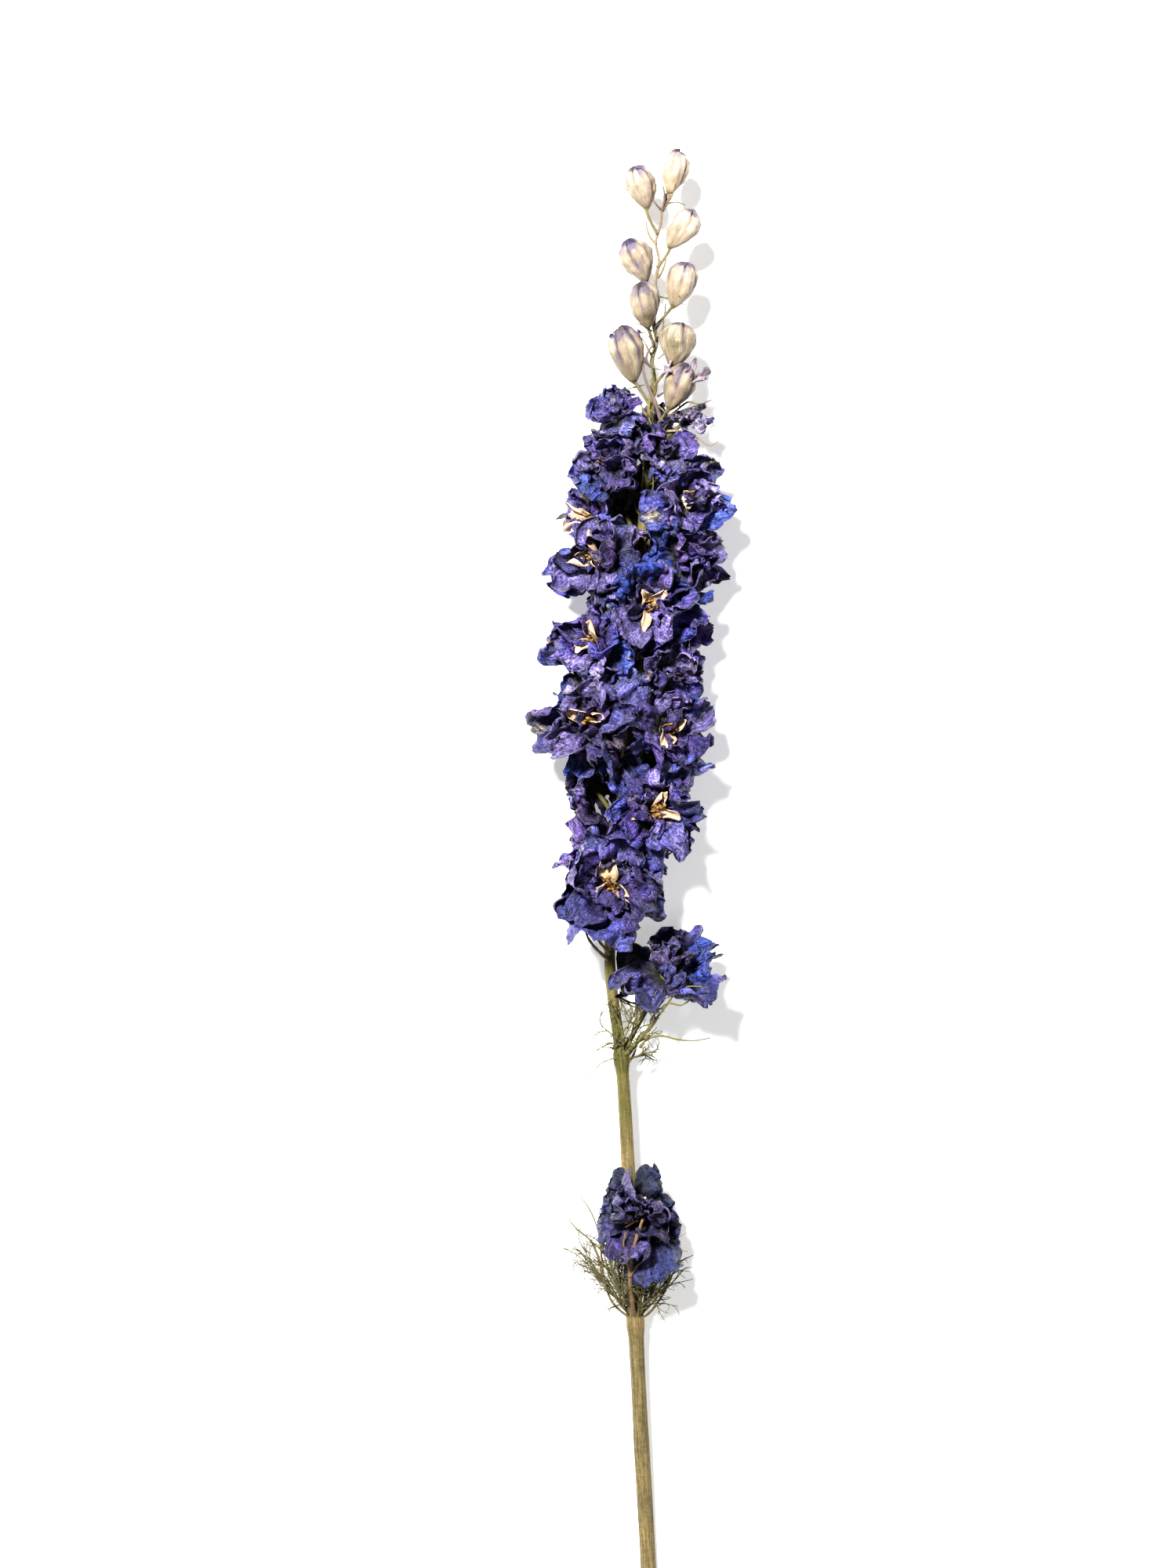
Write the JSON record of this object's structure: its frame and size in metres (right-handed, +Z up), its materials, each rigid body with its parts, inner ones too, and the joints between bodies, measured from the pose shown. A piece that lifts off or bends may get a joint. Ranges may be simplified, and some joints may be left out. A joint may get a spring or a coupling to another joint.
{
  "type": "delphinium flower spike",
  "caption": "Dried, cut delphinium spike lying down: a ridged stem with crumpled double violet blooms, pale hearts, closed buds at the top and thread leaves lower down.",
  "frame": {"origin": "middle of the footprint of the lying spike, on the surface it rests on", "axes": "+Y along the spike from the cut end of the stem to the tip, +Z up from the surface, +X to the right when seen from above with the tip at the top"},
  "size_m": [0.0533, 0.3977, 0.0355],
  "materials": {
    "stem": "dry olive to tan stalk skin, matte",
    "bloom": "dry crumpled petal, violet to blue, matte with a faint silky sheen",
    "heart": "dry cream to tan inner petals and stamens, matte",
    "bud": "dry cream bud with violet seams, matte"
  },
  "bodies": {
    "root": {"stem": "stem", "bloom_01": "bloom", "bloom_02": "bloom", "bloom_03": "bloom", "bloom_04": "bloom", "bloom_05": "bloom", "bloom_06": "bloom", "bloom_07": "bloom", "bloom_08": "bloom", "bloom_09": "bloom", "bloom_10": "bloom", "bloom_11": "bloom", "bloom_12": "bloom", "bloom_13": "bloom", "bloom_14": "bloom", "bloom_15": "bloom", "bloom_16": "bloom", "bloom_17": "bloom", "bloom_18": "bloom", "bloom_19": "bloom", "bloom_20": "bloom", "bloom_21": "bloom", "bloom_22": "bloom", "bloom_23": "bloom", "bloom_24": "bloom", "bloom_25": "bloom", "bloom_26": "bloom", "bloom_27": "bloom", "heart_05": "heart", "heart_06": "heart", "heart_07": "heart", "heart_08": "heart", "heart_09": "heart", "heart_10": "heart", "heart_11": "heart", "heart_12": "heart", "heart_13": "heart", "heart_14": "heart", "heart_15": "heart", "heart_16": "heart", "heart_17": "heart", "heart_18": "heart", "heart_19": "heart", "heart_20": "heart", "heart_21": "heart", "heart_22": "heart", "heart_23": "heart", "heart_24": "heart", "heart_25": "heart", "heart_26": "heart", "heart_27": "heart", "bud_1": "bud", "bud_2": "bud", "bud_3": "bud", "bud_4": "bud", "bud_5": "bud", "bud_6": "bud", "bud_7": "bud", "bud_8": "bud", "bud_9": "bud"}
  },
  "joints": []
}
